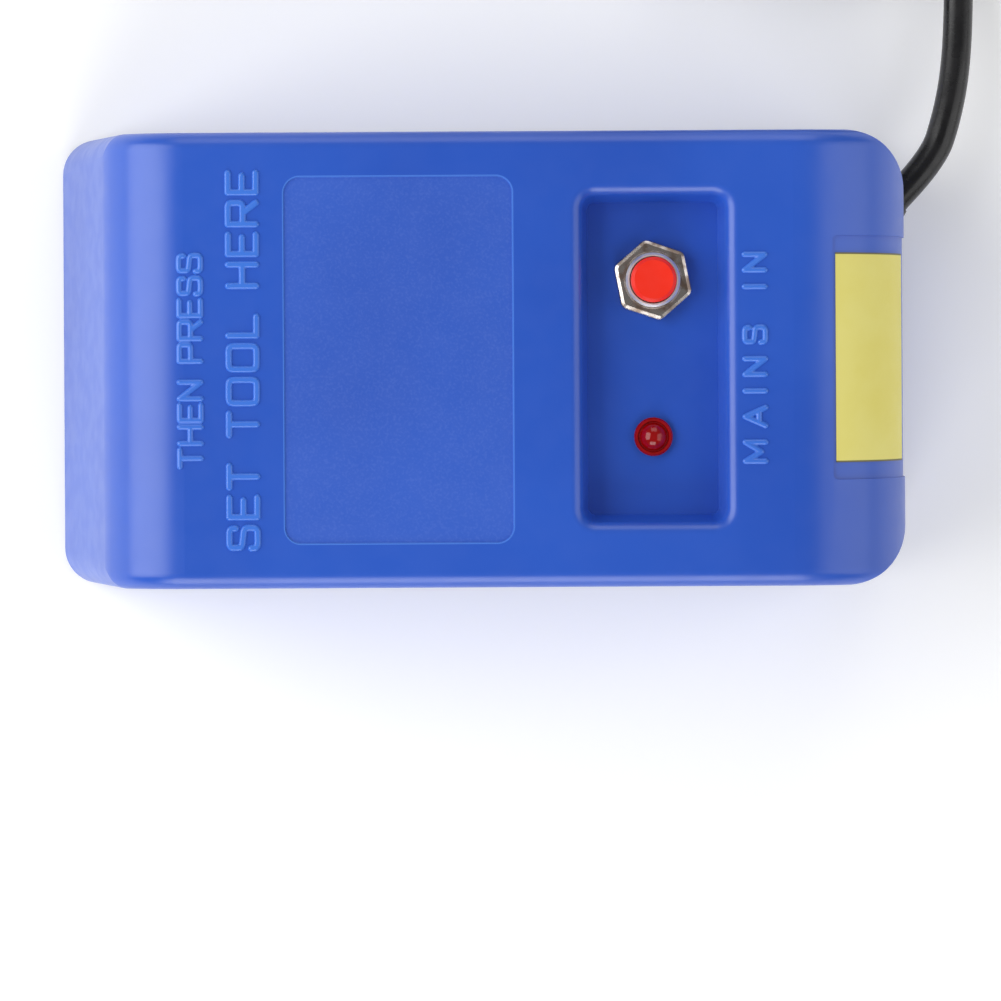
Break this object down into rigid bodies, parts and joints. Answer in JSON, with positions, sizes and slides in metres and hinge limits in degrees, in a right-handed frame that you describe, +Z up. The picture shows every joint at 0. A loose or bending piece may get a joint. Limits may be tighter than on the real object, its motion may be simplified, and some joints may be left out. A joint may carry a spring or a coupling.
{
  "type": "bench demagnetizer",
  "caption": "Blue moulded bench demagnetizer with a tool pad, a red push-button and lamp in a pocket, and a mains lead.",
  "frame": {"origin": "on the surface it stands on, under the middle of the casing", "axes": "+X along the casing towards the cord end, +Y across the casing, +Z up"},
  "size_m": [0.1742, 0.1897, 0.052],
  "materials": {
    "casing": "satin-gloss moulded ABS, blue",
    "base_plate": "fine-textured moulded ABS, blue",
    "zinc_steel": "zinc-plated steel",
    "foot_rubber": "matt black rubber",
    "label": "plain yellow vinyl",
    "silicon_steel": "varnished electrical steel",
    "fibre": "fish-paper",
    "nylon": "natural nylon",
    "copper": "enamelled copper wire",
    "tape": "polyester tape",
    "fuse": "moulded thermal fuse",
    "nickel": "bright nickel plating",
    "phenolic": "black phenolic",
    "brass_tin": "tinned brass",
    "spring_steel": "spring steel",
    "lens_red": "translucent red acrylic",
    "bulb_glass": "clear glass",
    "resistor": "lacquered film resistor",
    "wire_brown": "brown PVC",
    "wire_blue": "blue PVC",
    "wire_red": "red PVC",
    "wire_yellow": "yellow PVC",
    "wire_black": "black PVC",
    "cord_pvc": "smooth black PVC",
    "tie": "black strap",
    "plug_pvc": "black moulded PVC",
    "brass_nickel": "nickel-plated brass",
    "button_red": "glossy red plastic"
  },
  "bodies": {
    "housing": {"casing": "casing", "base_plate": "base_plate", "base_screws": "zinc_steel", "rubber_feet": "foot_rubber", "rating_label": "label", "core_laminations": "silicon_steel", "core_insulator": "fibre", "coil_bobbin": "nylon", "coil_winding": "copper", "coil_tape": "tape", "thermal_fuse": "fuse", "core_bracket_left": "zinc_steel", "core_bracket_right": "zinc_steel", "core_bolts": "zinc_steel", "core_washers": "zinc_steel", "core_nuts": "zinc_steel", "bracket_screws": "zinc_steel", "switch_bushing": "nickel", "switch_washer": "zinc_steel", "switch_nut": "nickel", "switch_body": "phenolic", "switch_terminals": "brass_tin", "switch_spring": "spring_steel", "lamp_lens": "lens_red", "lamp_clip": "spring_steel", "lamp_bulb": "bulb_glass", "lamp_resistor": "resistor", "splice_caps": "nylon", "live_wire": "wire_brown", "neutral_wire": "wire_blue", "switched_wire": "wire_red", "coil_leads": "wire_yellow", "lamp_wires": "wire_black", "cord_gland": "cord_pvc", "cord_sheath": "cord_pvc", "cord_clamp": "nylon", "clamp_screws": "zinc_steel", "cord_run": "cord_pvc", "cord_coil": "cord_pvc", "cord_tie": "tie", "cord_tail": "cord_pvc", "plug_body": "plug_pvc", "plug_blades": "brass_nickel"},
    "button": {"button_cap": "button_red", "button_stem": "phenolic", "contact_disc": "brass_tin"}
  },
  "joints": [
    {"name": "button_press", "type": "slide", "parent": "housing", "child": "button", "axis": [0, 0, -1], "range_m": [0, 0.002], "stiffness_N_per_m": 400, "springref_m": -0.002, "deforming": ["switch_spring"]}
  ]
}
